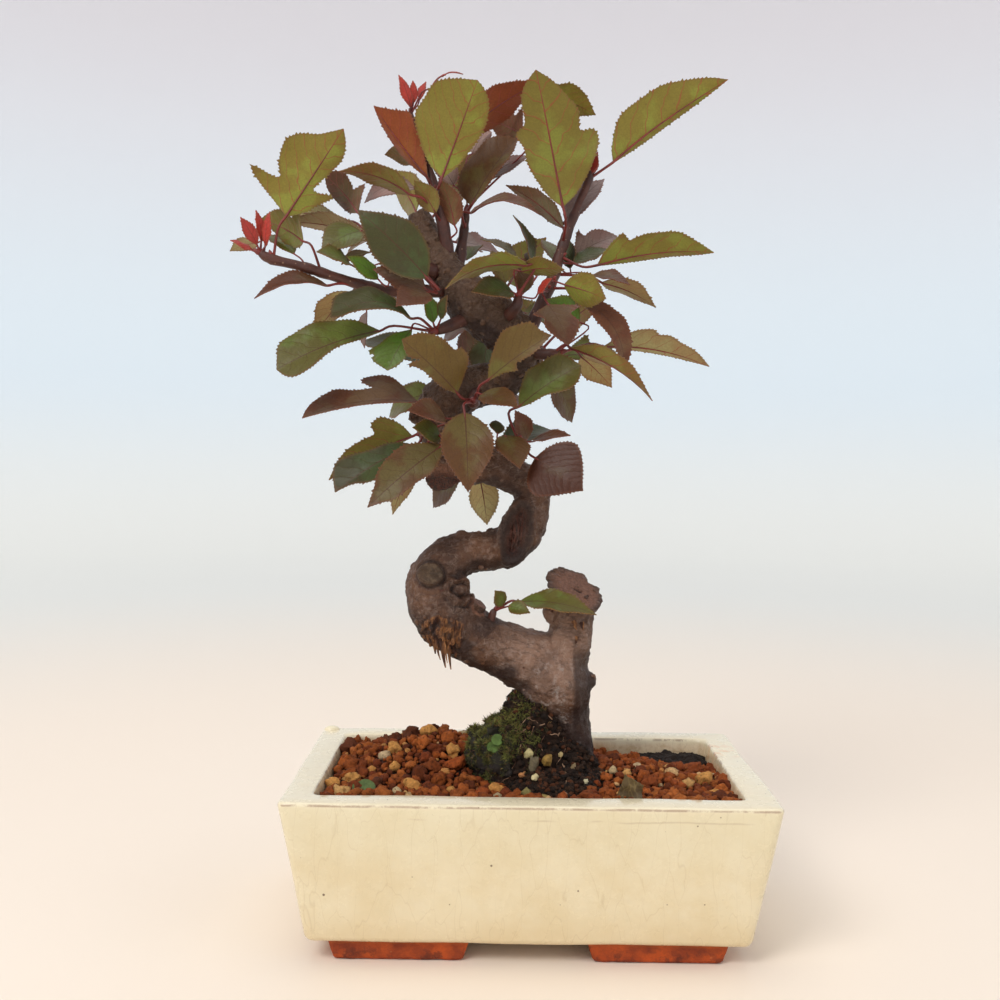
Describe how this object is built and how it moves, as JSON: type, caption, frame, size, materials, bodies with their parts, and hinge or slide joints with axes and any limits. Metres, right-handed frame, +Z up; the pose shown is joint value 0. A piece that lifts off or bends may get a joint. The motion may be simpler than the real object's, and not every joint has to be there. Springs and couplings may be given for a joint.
{
  "type": "apple bonsai in a glazed pot",
  "caption": "Small apple tree with a twisted trunk and toothed leaves, rooted in gravel-topped soil in a footed glazed pot that stands on a flat surface.",
  "frame": {"origin": "centre of the bounding box in plan, at the underside of the pot's feet", "axes": "+Z up along the tree, +Y away from the viewer of the picture, +X along the pot's long side to the viewer's right"},
  "size_m": [0.201, 0.1124, 0.3207],
  "materials": {
    "pot_glaze": "cream glaze with fine cracks; bare orange clay on the feet",
    "net": "dark moulded net",
    "soil": "damp dark soil with small pale stones",
    "gravel": "porous red-brown clay granules",
    "moss": "low green moss",
    "dry_leaf": "dry olive-brown leaf scrap",
    "bark": "smooth grey-brown bark, rough and split at the old cuts",
    "foliage": "green, olive, purple-brown and red leaves on dark red stalks"
  },
  "bodies": {
    "root": {"pot": "pot_glaze", "drain_net_left": "net", "drain_net_right": "net", "soil": "soil", "clay_gravel": "gravel", "moss_cushion": "moss", "moss_corner_tuft": "moss", "leaf_scrap": "dry_leaf", "trunk": "bark", "left_shoot": "foliage", "upper_left_spur": "foliage", "crown_shoot": "foliage", "crown_side_spur": "foliage", "right_shoot": "foliage", "right_middle_spur": "foliage", "inner_spur": "foliage", "left_middle_spur": "foliage", "lower_left_spur": "foliage", "front_spur": "foliage", "lower_right_spur": "foliage", "trunk_sprout": "foliage", "crown_back_spur": "foliage", "back_upper_spur": "foliage", "back_middle_spur": "foliage", "back_right_spur": "foliage", "lower_back_spur": "foliage"}
  },
  "joints": []
}
